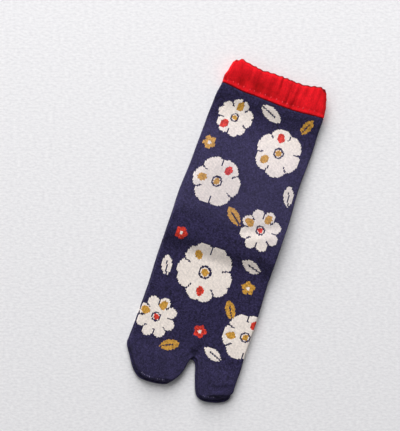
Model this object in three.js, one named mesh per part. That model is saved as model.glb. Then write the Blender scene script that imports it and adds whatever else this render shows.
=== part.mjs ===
// A pair of split-toe socks laid flat, one sock on the other with their soles together.
// Each sock is a knitted tube with a pocket for the big toe, a pocket for the other four
// toes and a turned elastic cuff. The heel pockets lie folded flat between the two socks.
// X runs across the socks, Y from the toes (-Y) to the cuffs (+Y), Z up; the floor is z = 0.
import * as THREE from "three";
import { mergeVertices } from "three/addons/utils/BufferGeometryUtils.js";

// Cloth, in millimetres.
const KNIT = 1.2; // one layer of the leg and foot
const SLACK = 0.5; // between the two layers of a sock that lies flat
const FLAT = 2 * KNIT + SLACK; // a leg or foot that lies flat
const MOUTH = { flat: 4.0, reach: 16 }; // where it meets the cuff, and over what length
const WELT = 2.0; // the turned cuff, two layers of rib
const CUFF_FLAT = 2 * WELT + 0.6; // a cuff that lies flat
const SEAM = 0.3; // between pieces that meet or lie on each other
const CUFF_STEP = (CUFF_FLAT - MOUTH.flat) / 2; // the cuff stands out from the leg by this

// The line where the cuff meets the leg bows towards the toes, and the rim has two corners.
const SEAM_LINE = [
  { x: -43, y: 113.4 },
  { x: -20, y: 111.0 },
  { x: 17, y: 109.0 },
  { x: 45, y: 111.4 },
];
const RIM_LINE = [
  { x: -39.5, y: 128.8 },
  { x: -36.6, y: 132.3 },
  { x: -33.2, y: 135.4 },
  { x: -24, y: 133.6 },
  { x: -15, y: 132.4 },
  { x: 1, y: 132.5 },
  { x: 20, y: 131.7 },
  { x: 34.5, y: 134.2 },
  { x: 39.5, y: 131.2 },
];
const CUFF_SIDES = [
  { share: 0, left: -42.1, right: 44.2 },
  { share: 0.35, left: -42.3, right: 43.5 },
  { share: 0.7, left: -40.4, right: 41.8 },
  { share: 0.92, left: -39.3, right: 40.2 },
  { share: 1, left: -38.4, right: 39.1 },
];

// The leg and foot's side edges, from the cuff to the toe pockets.
const SIDES = [
  { y: 112, left: -42.1, right: 44.2 },
  { y: 99, left: -43.9, right: 44.0 },
  { y: 84, left: -44.6, right: 44.5 },
  { y: 52, left: -45.2, right: 43.6 },
  { y: 20, left: -46.6, right: 45.0 },
  { y: 2, left: -46.2, right: 45.0 },
  { y: -28, left: -46.1, right: 44.8 },
  { y: -60, left: -45.2, right: 45.9 },
  { y: -89, left: -45.5, right: 45.9 },
  { y: -103.3, left: -45.9, right: 46.4 },
];

// The toe pockets' edges, from where they part to their tips. The inner edges make the notch.
const CROTCH = { x: 8.2, y: -103.3 };
const FOUR_TOES = {
  tip: { x: -21, y: -131.2 },
  columns: 8,
  loft: 0.7,
  edges: [
    { y: -103.3, left: -45.9, right: 8.2 },
    { y: -103.5, left: -45.9, right: 7.3 },
    { y: -104.3, left: -46.1, right: 6.3 },
    { y: -106.0, left: -46.1, right: 5.3 },
    { y: -109.1, left: -44.9, right: 4.4 },
    { y: -112.1, left: -43.1, right: 3.8 },
    { y: -115.3, left: -40.9, right: 3.4 },
    { y: -119.0, left: -38.6, right: 2.1 },
    { y: -122.7, left: -36.3, right: 0.2 },
    { y: -125.5, left: -33.9, right: -2.1 },
    { y: -128.1, left: -31.1, right: -4.7 },
    { y: -129.6, left: -29.0, right: -8.0 },
    { y: -130.6, left: -27.2, right: -13.0 },
    { y: -131.2, left: -21.0, right: -21.0 },
  ],
};
const BIG_TOE = {
  tip: { x: 25.8, y: -131.9 },
  columns: 6,
  loft: 0.9,
  edges: [
    { y: -103.3, left: 8.2, right: 46.4 },
    { y: -103.5, left: 9.2, right: 46.4 },
    { y: -104.3, left: 10.4, right: 46.4 },
    { y: -106.0, left: 11.5, right: 46.4 },
    { y: -109.1, left: 12.7, right: 46.3 },
    { y: -113.6, left: 14.1, right: 46.2 },
    { y: -118.0, left: 15.6, right: 46.3 },
    { y: -120.6, left: 16.5, right: 46.3 },
    { y: -123.4, left: 17.5, right: 44.2 },
    { y: -126.0, left: 18.5, right: 41.3 },
    { y: -128.3, left: 19.7, right: 37.9 },
    { y: -130.2, left: 21.2, right: 33.4 },
    { y: -131.3, left: 22.9, right: 29.7 },
    { y: -131.9, left: 25.8, right: 25.8 },
  ],
};
// The lower sock's big toe is squarer at its outer corner.
const SQUARE_TOE = {
  ...BIG_TOE,
  tip: { x: 28.0, y: -131.9 },
  edges: [
    ...BIG_TOE.edges.filter(({ y }) => y >= -118),
    { y: -120.6, left: 16.5, right: 46.7 },
    { y: -123.4, left: 17.5, right: 46.6 },
    { y: -126.0, left: 18.6, right: 44.8 },
    { y: -128.3, left: 20.0, right: 41.3 },
    { y: -130.2, left: 21.9, right: 36.8 },
    { y: -131.3, left: 24.1, right: 32.8 },
    { y: -131.9, left: 28.0, right: 28.0 },
  ],
};

// The folded heel pockets, widest at the ankle and narrower towards the cuffs.
const HEEL = { baseY: -4, tipY: 40, baseHalf: 41, tipHalf: 24, thick: 2.2, edge: 3 };
// The upper sock bridges them and comes down over these lengths beyond a margin.
const TENT = { margin: 6, aside: 25, toCuff: 52, toToes: 17 };

// The lower sock's toes show past the upper one's: it lies further down and a little askew.
const LOWER = { slip: -2.6, sway: -1.6 };

// The rims' small gathers, and the deeper troughs down the upper cuff's front.
const GATHERS = { count: 16, relief: 0.3, scallop: 0.4 };
const TROUGHS = [
  { x: -26.5, width: 7.0, depth: 0.45 },
  { x: -14.2, width: 6.5, depth: 0.8 },
  { x: -2.6, width: 5.0, depth: 0.65 },
  { x: 12.2, width: 3.6, depth: 0.6 },
  { x: 18.0, width: 3.6, depth: 0.75 },
  { x: 25.0, width: 3.0, depth: 0.35 },
];

const FOLD_STEPS = 4; // segments round a side fold
const TIP_ROWS = 8;
const LAST_TURN = 1.555; // radians round a toe tip where its last section is
const CUFF_COLUMNS = 4 * GATHERS.count;
const COLOURS = { navy: 0x2e2a55, red: 0xd3202b };

const clamp = (value, low, high) => Math.min(high, Math.max(low, value));
const mix = (a, b, t) => a + (b - a) * t;
const spaced = (from, to, count) =>
  Array.from({ length: count + 1 }, (_, i) => mix(from, to, i / count));

// 0 at start, 1 at end, with a smooth change between.
function ease(value, start, end) {
  const t = clamp((value - start) / (end - start), 0, 1);
  return t * t * (3 - 2 * t);
}

// Reads one column of a table at a place along its key column, smoothly between rows.
function fromTable(rows, key, column, value) {
  const rising = rows[rows.length - 1][key] > rows[0][key] ? 1 : -1;
  const i = rows.findIndex((row) => rising * (row[key] - value) > 0);
  if (i === 0) return rows[0][column];
  if (i < 0) return rows[rows.length - 1][column];
  return mix(rows[i - 1][column], rows[i][column], ease(value, rows[i - 1][key], rows[i][key]));
}

// A pocket's edge at y. The tables are read along the turn of a round tip, by a spline.
function pocketEdge(pocket, column, y) {
  const turnAt = (at) => Math.asin(clamp((CROTCH.y - at) / (CROTCH.y - pocket.tip.y), 0, 1));
  const rows = pocket.edges;
  const last = rows.length - 1;
  const turn = turnAt(y);
  const found = rows.findIndex((row) => turnAt(row.y) > turn);
  const i = clamp(found < 0 ? last - 1 : found - 1, 0, last - 1);
  const at = (j) => ({ turn: turnAt(rows[j].y), x: rows[j][column] });
  const [p, q] = [at(i), at(i + 1)];
  const slope = (j) => {
    const [a, b] = [at(Math.max(0, j - 1)), at(Math.min(last, j + 1))];
    return (b.x - a.x) / (b.turn - a.turn);
  };
  const span = q.turn - p.turn;
  const t = (turn - p.turn) / span;
  const rise = (t - 1) * (t - 1) * t * slope(i) + (t - 1) * t * t * slope(i + 1);
  return mix(p.x, q.x, t * t * (3 - 2 * t)) + rise * span;
}

// A point of an outline, with the direction that points out of the cloth there.
function edgePoint(edgeAt, y, way, tipY) {
  const step = Math.min(0.05, (y - tipY) / 2);
  const slope = (edgeAt(y + step) - edgeAt(y - step)) / (2 * step);
  const length = Math.hypot(1, slope);
  return { x: edgeAt(y), out: { x: way / length, y: (-way * slope) / length } };
}

// How far a place is from the folded heel, across and along.
function fromHeel(x, y) {
  const share = clamp((y - HEEL.baseY) / (HEEL.tipY - HEEL.baseY), 0, 1);
  return {
    aside: Math.max(0, Math.abs(x) - mix(HEEL.baseHalf, HEEL.tipHalf, share)),
    along: Math.max(0, y - HEEL.tipY, HEEL.baseY - y),
  };
}

// The thickness that one folded heel pocket adds to its sock's back.
function heelFlap(x, y) {
  const { aside, along } = fromHeel(x, y);
  return HEEL.thick * (1 - ease(Math.hypot(aside, along), 0, HEEL.edge));
}

// How far the two folded heels lift the upper sock.
function heelLift(x, y) {
  const { aside, along } = fromHeel(x, y);
  const u = Math.max(0, aside - TENT.margin) / TENT.aside;
  const v = Math.max(0, along - TENT.margin) / (y > 0 ? TENT.toCuff : TENT.toToes);
  return 2 * HEEL.thick * (1 - ease(Math.hypot(u, v), 0, 1));
}

// A leg's own thickness, which grows towards the cuff.
const flatAt = (y) => mix(FLAT, MOUTH.flat, ease(y, 111 - MOUTH.reach, 111));

// Heights over the floor of each sock's cloth, and where the sock lies.
const LOWER_SOCK = {
  pockets: [FOUR_TOES, SQUARE_TOE],
  under: () => 0,
  over: (x, y) => flatAt(y) + heelFlap(x, y),
  innerUnder: () => KNIT,
  innerOver: (x, y) => flatAt(y) - KNIT,
  cuffUnder: () => 0,
  lofts: 0,
  troughs: 0,
  place: ([x, y, z]) => [x + (LOWER.sway * (111 - y)) / (111 - BIG_TOE.tip.y), y + LOWER.slip, z],
};
const upperRise = (x, y) => {
  const overCuff = CUFF_FLAT + CUFF_STEP - MOUTH.flat;
  return flatAt(y) + SEAM + overCuff * ease(y, 85, 108) + heelLift(x, y);
};
const UPPER_SOCK = {
  pockets: [FOUR_TOES, BIG_TOE],
  under: (x, y) => upperRise(x, y) - heelFlap(x, y),
  over: (x, y) => upperRise(x, y) + flatAt(y),
  innerUnder: (x, y) => upperRise(x, y) + KNIT,
  innerOver: (x, y) => upperRise(x, y) + flatAt(y) - KNIT,
  cuffUnder: () => CUFF_FLAT + SEAM,
  lofts: 1,
  troughs: 1,
  place: (point) => point,
};

// A closed section of a flattened tube: over it from left to right, then back under it,
// with a round fold at each edge, which turns in the direction that points out there.
// The heights and y may change with x. An inner section has the same folds, less inset.
function section({ left, right, columns, reach, inset = 0, yAt, under, over, raise }) {
  const round = Math.min(reach, (right.x - left.x) * 0.3);
  const centre = ({ x, out }) => ({ x: x - round * out.x, lift: -round * out.y });
  const [start, end] = [centre(left), centre(right)];
  const inner = round * (1 - inset / reach);
  const steps = spaced(0, 1, columns);
  const point = (x, t, way) => {
    const [a, b] = [under(x), over(x)];
    const lift = mix(start.lift, end.lift, t) + (raise ? raise(x) : 0);
    return [x, yAt(x) + lift, (a + b) / 2 + (way * Math.max(0.04, b - a)) / 2];
  };
  const fold = (from, { out }, t, way) =>
    Array.from({ length: FOLD_STEPS - 1 }, (_, i) => {
      const turn = ((i + 1) / FOLD_STEPS) * Math.PI;
      const [x, y, top] = point(from.x, t, 1);
      const middle = (under(from.x) + over(from.x)) / 2;
      const away = inner * Math.sin(turn);
      return [x + away * out.x, y + away * out.y, middle + way * (top - middle) * Math.cos(turn)];
    });
  const row = (way) => steps.map((t) => point(mix(start.x, end.x, t), t, way));
  return [...row(1), ...fold(end, right, 1, 1), ...row(-1).toReversed(), ...fold(start, left, 0, -1)];
}

// Collects triangles. A band's faces point out if its second section is nearer the toes.
class Shell {
  corners = [];
  band(a, b) {
    a.forEach((p, i) => {
      const j = (i + 1) % a.length;
      this.corners.push(p, b[i], a[j], a[j], b[i], b[j]);
    });
  }
  cap(ring, tip, outward) {
    ring.forEach((p, i) => {
      const next = ring[(i + 1) % ring.length];
      this.corners.push(...(outward ? [p, tip, next] : [p, next, tip]));
    });
  }
  mesh(name, colour, roughness, place) {
    const geometry = new THREE.BufferGeometry();
    const points = this.corners.map(place).flat();
    geometry.setAttribute("position", new THREE.Float32BufferAttribute(points, 3));
    const merged = mergeVertices(geometry, 1e-4);
    merged.computeVertexNormals();
    const mesh = new THREE.Mesh(
      merged,
      new THREE.MeshStandardMaterial({ color: colour, roughness, metalness: 0 }),
    );
    mesh.name = name;
    return mesh;
  }
}

// Rows down the leg and foot. Those above BOW_Y bend to follow the cuff's seam.
const BOW_Y = 80;
const SEAM_Y = 111;
const FOOT_ROWS = [
  ...[SEAM_Y, 107, 101, 92, BOW_Y, 66, 54, 46.5, 43, 40, 33, 25, 17, 8, 1, -4, -7, -12, -17],
  ...[-24, -34, -52, -70, -84, -94, -99.5],
];
const bowed = (y) => (x) => {
  const share = ease(y, BOW_Y, SEAM_Y);
  return y + share * (fromTable(SEAM_LINE, "x", "y", x) - SEAM / 2 - SEAM_Y);
};
const POCKET_STARTS = [0.2, 0.8, 2, 4, 7];
const TENT_Y = CROTCH.y + 12; // rows below this rise towards the crotch's round edge

// One surface of the leg, foot and pockets: the outside, or the inside one knit layer in.
function footSurface(sock, inner) {
  const inset = inner ? KNIT : 0;
  const [under, over] = inner ? [sock.innerUnder, sock.innerOver] : [sock.under, sock.over];
  const k = FOUR_TOES.columns;
  const columns = k + BIG_TOE.columns;
  const round = FLAT / 2;
  const sideAt = (column) => (y) => fromTable(SIDES, "y", column, y);
  const whole = (y) => {
    const left = edgePoint(sideAt("left"), y, -1, CROTCH.y - 1);
    const right = edgePoint(sideAt("right"), y, 1, CROTCH.y - 1);
    const nearCrotch = (x) => {
      const edge = x < CROTCH.x ? left.x : right.x;
      return 1 - clamp((x - CROTCH.x) / (edge - CROTCH.x), 0, 1);
    };
    return section({
      ...{ left, right, columns, inset },
      reach: flatAt(y) / 2,
      yAt: bowed(y),
      raise: (x) => round * nearCrotch(x) * ease(y, TENT_Y, CROTCH.y),
      under: (x) => under(x, y),
      over: (x) => over(x, y),
    });
  };
  const rows = FOOT_ROWS.map(whole);

  // The last whole section parts in two along a round wall at the crotch.
  const parting = whole(CROTCH.y);
  const below = 2 * columns + FOLD_STEPS - k;
  for (const i of [k, below]) [parting[i][0], parting[i][1]] = [CROTCH.x, CROTCH.y + round];
  const [top, bottom] = [parting[k][2], parting[below][2]];
  const wall = spaced(0, Math.PI, FOLD_STEPS)
    .slice(1, -1)
    .map((turn) => [
      CROTCH.x,
      CROTCH.y + round - (round - inset) * Math.sin(turn),
      (top + bottom) / 2 + ((top - bottom) / 2) * Math.cos(turn),
    ]);
  rows.push(parting);
  const halves = [
    [...parting.slice(0, k + 1), ...wall, ...parting.slice(below)],
    [...parting.slice(k, below + 1), ...wall.toReversed()],
  ];

  const toes = sock.pockets.map((pocket, i) => {
    const { tip } = pocket;
    const deepest = CROTCH.y - tip.y;
    const begin = Math.asin(POCKET_STARTS[POCKET_STARTS.length - 1] / deepest);
    const ys = [
      ...POCKET_STARTS.map((deep) => CROTCH.y - deep),
      ...spaced(begin, LAST_TURN, TIP_ROWS)
        .slice(1)
        .map((turn) => CROTCH.y - deepest * Math.sin(turn)),
    ];
    const rings = ys.map((y) => {
      const left = edgePoint((at) => pocketEdge(pocket, "left", at), y, -1, tip.y);
      const right = edgePoint((at) => pocketEdge(pocket, "right", at), y, 1, tip.y);
      const loftAt = (x) => {
        const across = clamp((2 * x - left.x - right.x) / (right.x - left.x), -1, 1);
        return sock.lofts * pocket.loft * (1 - across ** 2) * ease(CROTCH.y - y, 0, 10);
      };
      return section({
        ...{ left, right, inset },
        columns: pocket.columns,
        reach: round,
        yAt: () => y,
        under: (x) => under(x, y),
        over: (x) => over(x, y) + loftAt(x),
      });
    });
    const middle = (under(tip.x, tip.y) + over(tip.x, tip.y)) / 2;
    return { rings: [halves[i], ...rings], end: [tip.x, tip.y + inset, middle] };
  });
  return { rows, toes };
}

// A leg and foot: an outer and an inner surface that meet round the leg's open end.
function legAndFoot(name, sock) {
  const shell = new Shell();
  const [outside, inside] = [footSurface(sock, false), footSurface(sock, true)];
  const chain = [...inside.rows.toReversed(), ...outside.rows];
  chain.slice(1).forEach((ring, i) => shell.band(chain[i], ring));
  for (const { rings, end } of outside.toes) {
    rings.slice(1).forEach((ring, i) => shell.band(rings[i], ring));
    shell.cap(rings[rings.length - 1], end, true);
  }
  for (const { rings, end } of inside.toes) {
    rings.slice(1).forEach((ring, i) => shell.band(ring, rings[i]));
    shell.cap(rings[rings.length - 1], end, false);
  }
  return shell.mesh(name, COLOURS.navy, 0.9, sock.place);
}

// Rows up a cuff. Its lips draw in at the seam and at the rim.
const CUFF_OUTER = [
  { share: 0, drawIn: 0.45 },
  { share: 0.05, drawIn: 0 },
  { share: 0.3, drawIn: 0 },
  { share: 0.62, drawIn: 0 },
  { share: 0.88, drawIn: 0.05 },
  { share: 0.97, drawIn: 0.3 },
  { share: 1, drawIn: 0.75 },
];
const CUFF_INNER = [{ share: 1 }, { share: 0.5 }, { share: 0 }];

function cuff(name, sock) {
  const side = (column, share, inset) => {
    const way = column === "left" ? -1 : 1;
    const x = fromTable(CUFF_SIDES, "share", column, share) - way * inset;
    return { x, out: { x: way, y: 0 } };
  };
  const acrossAt = (x) => (x - CUFF_SIDES[0].left) / (CUFF_SIDES[0].right - CUFF_SIDES[0].left);
  const gatherAt = (x) => (1 - Math.cos(2 * Math.PI * GATHERS.count * acrossAt(x))) / 2;
  const troughAt = (x) =>
    TROUGHS.reduce((sum, { x: at, width, depth }) => {
      return sum + depth * Math.exp(-(((x - at) / (width / 2)) ** 2));
    }, 0);

  const yAt = (share) => (x) => {
    const low = fromTable(SEAM_LINE, "x", "y", x) + SEAM / 2;
    const rim = fromTable(RIM_LINE, "x", "y", x) - GATHERS.scallop * gatherAt(x);
    return mix(low, rim, share);
  };
  const outer = CUFF_OUTER.map(({ share, drawIn }) =>
    section({
      left: side("left", share, drawIn),
      right: side("right", share, drawIn),
      columns: CUFF_COLUMNS,
      reach: CUFF_FLAT / 2,
      yAt: yAt(share),
      under: () => sock.cuffUnder() + (sock.troughs ? drawIn : 0),
      over: (x) => {
        const relief = GATHERS.relief * gatherAt(x) * ease(share, 0.1, 0.9);
        const trough = sock.troughs * troughAt(x) * ease(share, -0.3, 0.8);
        return sock.cuffUnder() + CUFF_FLAT - drawIn - relief - trough;
      },
    }),
  );
  const inner = CUFF_INNER.map(({ share }) =>
    section({
      left: side("left", share, 0),
      right: side("right", share, 0),
      columns: CUFF_COLUMNS,
      reach: CUFF_FLAT / 2,
      inset: WELT,
      yAt: yAt(share),
      under: () => sock.cuffUnder() + WELT,
      over: () => sock.cuffUnder() + CUFF_FLAT - WELT,
    }),
  );
  const chain = [...outer.toReversed(), ...inner.toReversed()];
  const shell = new Shell();
  chain.forEach((ring, i) => shell.band(ring, chain[(i + 1) % chain.length]));
  return shell.mesh(name, COLOURS.red, 0.85, sock.place);
}

const group = new THREE.Group();
group.name = "split_toe_socks";
group.add(
  legAndFoot("upper_sock_body", UPPER_SOCK),
  cuff("upper_sock_cuff", UPPER_SOCK),
  legAndFoot("lower_sock_body", LOWER_SOCK),
  cuff("lower_sock_cuff", LOWER_SOCK),
);

// The pair's own middle goes over the origin.
const box = new THREE.Box3().setFromObject(group, true);
const middle = box.getCenter(new THREE.Vector3());
for (const mesh of group.children) mesh.geometry.translate(-middle.x, -middle.y, -box.min.z);

export default group;
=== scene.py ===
"""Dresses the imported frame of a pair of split-toe socks that lie flat, one on the other."""

import random

import bpy
import numpy as np
from mathutils import Matrix, Vector


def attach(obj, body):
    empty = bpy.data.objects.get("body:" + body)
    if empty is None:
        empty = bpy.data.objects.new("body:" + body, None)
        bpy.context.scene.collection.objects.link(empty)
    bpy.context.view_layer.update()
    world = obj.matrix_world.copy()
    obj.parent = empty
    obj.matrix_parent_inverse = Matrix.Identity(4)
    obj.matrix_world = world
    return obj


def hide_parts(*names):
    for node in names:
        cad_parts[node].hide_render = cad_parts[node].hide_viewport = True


bl_info = {
    "name": "Split-Toe Socks",
    "version": (1, 0, 0),
    "blender": (4, 5, 0),
    "location": "View3D > Sidebar > Socks",
    "description": "Knits a pair of split-toe socks over their packed frame",
    "category": "Mesh",
}

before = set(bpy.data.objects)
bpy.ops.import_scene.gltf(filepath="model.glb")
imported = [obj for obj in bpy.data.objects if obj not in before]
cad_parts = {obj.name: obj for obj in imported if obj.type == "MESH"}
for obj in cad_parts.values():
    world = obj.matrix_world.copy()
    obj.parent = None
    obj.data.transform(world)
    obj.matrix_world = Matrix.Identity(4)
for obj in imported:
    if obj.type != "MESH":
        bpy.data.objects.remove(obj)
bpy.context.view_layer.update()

MM = 0.001

# Cloth, in millimetres. +X is the big toe's side, and +Y runs to the cuffs.
KNIT = 1.2  # one layer
FLAT = 2.9  # a flat leg or foot
MOUTH_FLAT, MOUTH_REACH = 4.0, 16.0  # a flat leg at the cuff, and how far down it thickens
WELT, CUFF_FLAT = 2.0, 4.6  # one side of a turned cuff, and a flat cuff
SEAM = 0.3
SEAM_Y, BOW_Y = 111.0, 80.0  # the cuff's seam, and where rows start to bend towards its line
CENTRE = (-0.5968, 0.3776)  # the middle of the pair's outline, which stands over the origin

# Lines across the socks: x, y.
SEAM_LINE = ((-43, 112.6), (-20, 110.3), (17, 109.0), (45, 110.7))
RIM_LINE = (
    (-39.5, 128.8), (-36.6, 132.3), (-33.2, 135.4), (-24, 133.6), (-15, 132.4),
    (1, 132.5), (20, 131.7), (34.5, 134.2), (39.5, 131.2),
)
# Side edges of the cuff: share of its height, left x, right x.
CUFF_SIDES = (
    (0, -42.1, 44.2), (0.35, -42.3, 43.5), (0.7, -40.4, 41.8),
    (0.92, -39.3, 40.2), (1, -38.4, 39.1),
)
# Side edges of the leg and foot: y, left x, right x.
SIDES = (
    (-103.3, -45.9, 46.4), (-89, -45.5, 45.9), (-60, -45.2, 45.9),
    (-28, -46.1, 44.8), (2, -46.2, 45.0), (20, -46.6, 45.0), (52, -45.2, 43.6),
    (84, -44.6, 44.5), (99, -43.9, 44.0), (112, -42.1, 44.2),
)

# Toe pockets: the tip, and the edges as y, left x, right x. The inner edges make the notch.
CROTCH = (8.2, -103.3)
FOUR_TOES = {
    "tip": (-21, -131.2),
    "loft": 0.7,
    "edges": (
        (-103.3, -45.9, 8.2), (-103.5, -45.9, 7.3), (-104.3, -46.1, 6.3), (-106.0, -46.1, 5.3),
        (-109.1, -44.9, 4.4), (-112.1, -43.1, 3.8), (-115.3, -40.9, 3.4), (-119.0, -38.6, 2.1),
        (-122.7, -36.3, 0.2), (-125.5, -33.9, -2.1), (-128.1, -31.1, -4.7), (-129.6, -29.0, -8.0),
        (-130.6, -27.2, -13.0), (-131.2, -21.0, -21.0),
    ),
}
BIG_TOE = {
    "tip": (25.8, -131.9),
    "loft": 0.9,
    "edges": (
        (-103.3, 8.2, 46.4), (-103.5, 9.2, 46.4), (-104.3, 10.4, 46.4), (-106.0, 11.5, 46.4),
        (-109.1, 12.7, 46.3), (-113.6, 14.1, 46.2), (-118.0, 15.6, 46.3), (-120.6, 16.5, 46.3),
        (-123.4, 17.5, 44.2), (-126.0, 18.5, 41.3), (-128.3, 19.7, 37.9), (-130.2, 21.2, 33.4),
        (-131.3, 22.9, 29.7), (-131.9, 25.8, 25.8),
    ),
}
# The lower sock's big toe is squarer at its outer corner.
SQUARE_TOE = {
    "tip": (28.0, -131.9),
    "loft": 0.9,
    "edges": (
        *(row for row in BIG_TOE["edges"] if row[0] >= -118),
        (-120.6, 16.5, 46.7), (-123.4, 17.5, 46.6), (-126.0, 18.6, 44.8), (-128.3, 20.0, 41.3),
        (-130.2, 21.9, 36.8), (-131.3, 24.1, 32.8), (-131.9, 28.0, 28.0),
    ),
}

# The folded heel pockets, and how the upper sock comes down round them.
HEEL = {"base_y": -4, "tip_y": 40, "base_half": 41, "tip_half": 24, "thick": 2.2, "edge": 3}
TENT = {"margin": 6, "aside": 25, "to_cuff": 52, "to_toes": 17}
LOWER = {"slip": -2.6, "sway": -1.6}
CLIMB = (85, 108)  # y between which the upper sock rises onto the lower one's cuff

# The knitted grid. A stitch is two slanting legs, each one face on the sock's front.
WALES_FRONT = 84  # stitches across one layer
WALES_FOLD = 4  # stitches round a side fold
WALES_FOUR = 49  # of a layer's stitches, those that run into the four-toe pocket
WALE = 1.083  # mm from one stitch to the next
FIRST_WALE = -44.75  # x where the front's first stitch starts
ROUND = 2 * (WALES_FRONT + WALES_FOLD) * WALE  # mm round the leg, after which the pattern repeats
COURSES = 238  # from the cuff to where the pockets part
LEG_SLANT = 0.24  # mm that a stitch's middle lies below its edges
LAST_TURN = 1.56  # radians round a toe tip where its last row of stitches is
# A pocket's rows: mm below the crotch of the first ones, the straight ones down to a count of
# courses, and the number of rows that follow the tip's turn.
FIRST_ROWS, STRAIGHT_ROWS, TURNED_ROWS = (0.15, 0.5), 20, 14
# The plain inside has fewer: rows in the leg and foot, courses to a row, a pocket's first rows,
# and the turn where its turned ones start and their number.
INNER_ROWS, INNER_COURSES = 38, 6
INNER_FIRST, INNER_TURN, INNER_TURNED = (0.2, 0.8, 2, 4), 0.25, 9
LINING = 0.55  # mm from a creased face to the inside, at the least
NARROWING, NARROWED = 4, 16  # how much tighter stitches are by the crotch, and for how many mm
LOFTED = 10  # mm below the crotch where a toe pocket has its full loft
CROTCH_BEND = 12  # mm above the crotch where rows start to bend towards it
FOLD_SHARE = 0.3  # of a section's width, what each fold takes at most
THINNEST = 0.02  # half of the least height of a section


def ease(value, start, end):
    """0 at start and 1 at end, with a smooth change between."""
    t = np.clip((value - start) / (end - start), 0, 1)
    return t * t * (3 - 2 * t)


def from_table(rows, column, value):
    """Reads a table at a place along its first column, smoothly between its rows."""
    keys = [row[0] for row in rows]
    value = np.clip(value, keys[0], keys[-1])
    i = np.clip(np.searchsorted(keys, value, side="right") - 1, 0, len(rows) - 2)
    lows, columns = np.array(keys, float), np.array([row[column] for row in rows], float)
    t = ease(value, lows[i], lows[i + 1])
    return columns[i] + (columns[i + 1] - columns[i]) * t


def side_edge(column, y):
    """x of the leg's or foot's left edge, column 1, or right edge, column 2."""
    return float(from_table(SIDES, column, y))


def pocket_edge(pocket, column, y):
    """A toe pocket's edge at y. The table is read along the turn of a round tip, by a spline."""
    rows, deepest = pocket["edges"], CROTCH[1] - pocket["tip"][1]
    turns = np.arcsin([min(1.0, (CROTCH[1] - row[0]) / deepest) for row in rows])
    xs = [row[column] for row in rows]
    turn = float(np.arcsin(np.clip((CROTCH[1] - y) / deepest, 0, 1)))
    last = len(rows) - 1
    i = int(np.clip(np.searchsorted(turns, turn, side="right") - 1, 0, last - 1))

    def slope(j):
        low, high = max(0, j - 1), min(last, j + 1)
        return (xs[high] - xs[low]) / (turns[high] - turns[low])

    span = turns[i + 1] - turns[i]
    t = (turn - turns[i]) / span
    rise = (t - 1) ** 2 * t * slope(i) + (t - 1) * t * t * slope(i + 1)
    return xs[i] + (xs[i + 1] - xs[i]) * t * t * (3 - 2 * t) + rise * span


def edge_point(edge_at, y, way, lowest):
    """x of an outline at y, and the direction that points out of the cloth there."""
    step = min(0.05, (y - lowest) / 2)
    slope = (edge_at(y + step) - edge_at(y - step)) / (2 * step)
    length = np.hypot(1, slope)
    return edge_at(y), way / length, -way * slope / length


def from_heel(x, y):
    """How far a place lies outside the folded heel, across and along."""
    share = np.clip((y - HEEL["base_y"]) / (HEEL["tip_y"] - HEEL["base_y"]), 0, 1)
    half = HEEL["base_half"] + (HEEL["tip_half"] - HEEL["base_half"]) * share
    aside = np.maximum(0, np.abs(x) - half)
    along = np.maximum(0, np.maximum(y - HEEL["tip_y"], HEEL["base_y"] - y))
    return aside, along


def heel_flap(x, y):
    """What one folded heel pocket adds to its sock's back."""
    aside, along = from_heel(x, y)
    return HEEL["thick"] * (1 - ease(np.hypot(aside, along), 0, HEEL["edge"]))


def heel_lift(x, y):
    """How far both folded heels lift the upper sock."""
    aside, along = from_heel(x, y)
    u = np.maximum(0, aside - TENT["margin"]) / TENT["aside"]
    v = np.maximum(0, along - TENT["margin"]) / np.where(y > 0, TENT["to_cuff"], TENT["to_toes"])
    return 2 * HEEL["thick"] * (1 - ease(np.hypot(u, v), 0, 1))


def flat_at(y):
    """The height of one flat sock."""
    return FLAT + (MOUTH_FLAT - FLAT) * ease(y, SEAM_Y - MOUTH_REACH, SEAM_Y)


def upper_rise(x, y):
    """The height at which the upper sock starts."""
    over_cuff = CUFF_FLAT + (CUFF_FLAT - MOUTH_FLAT) / 2 - MOUTH_FLAT
    return flat_at(y) + SEAM + over_cuff * ease(y, *CLIMB) + heel_lift(x, y)


# Soft creases across the upper sock's front: from x, y to x, y, then width and depth.
# A negative depth is a ridge.
CREASES = (
    (9, 2, 43, 19, 8, 0.55),
    (13, -3, 44, 10, 8, -0.35),
    (-45, -2, -12, 5, 11, 0.30),
    (-44, 6, -22, 12, 8, -0.25),
    (7.2, -105.0, 8.2, -98.5, 8.4, 2.15),
    (8.4, -102, 10.4, -91, 5.0, 0.75),
    (3.8, -103, 5.0, -93, 5.0, -0.40),
    (14, -103, 16.5, -92, 5.5, -0.25),
    (2, -96, -6, -88, 6.0, 0.30),
    (29, -119.5, 45, -112.5, 3.6, -0.45),
    (27, -123, 44, -117, 4.5, 0.35),
    (-41, -98, -34, -114, 6.0, 0.35),
    (-36, -108, -28, -122, 6.0, -0.25),
    (-40, 62, -6, 54, 14, 0.28),
    (10, 46, 43, 58, 12, 0.25),
    (-44, -46, -14, -52, 13, 0.28),
    (14, -58, 45, -50, 12, 0.25),
    (36, 92, 44, 70, 9, 0.30),
    (-44, 96, -38, 78, 8, 0.30),
)
END_FADE = 0.75  # how much of a crease is lost at its ends
# Slight waves: height, the mm to a radian across and along and the start of one sine, then the
# mm to a radian along and across and the start of the other.
WAVES = ((0.13, 9.7, 23, 0, 13.1, -31, 1), (0.07, 4.3, -17, 2, 6.1, 11, 0))
TIP_FADE, CUFF_FADE = (-134, -118), (96, 110)  # y between which creases fade
FADE_AT_CUFF = 0.6


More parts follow.
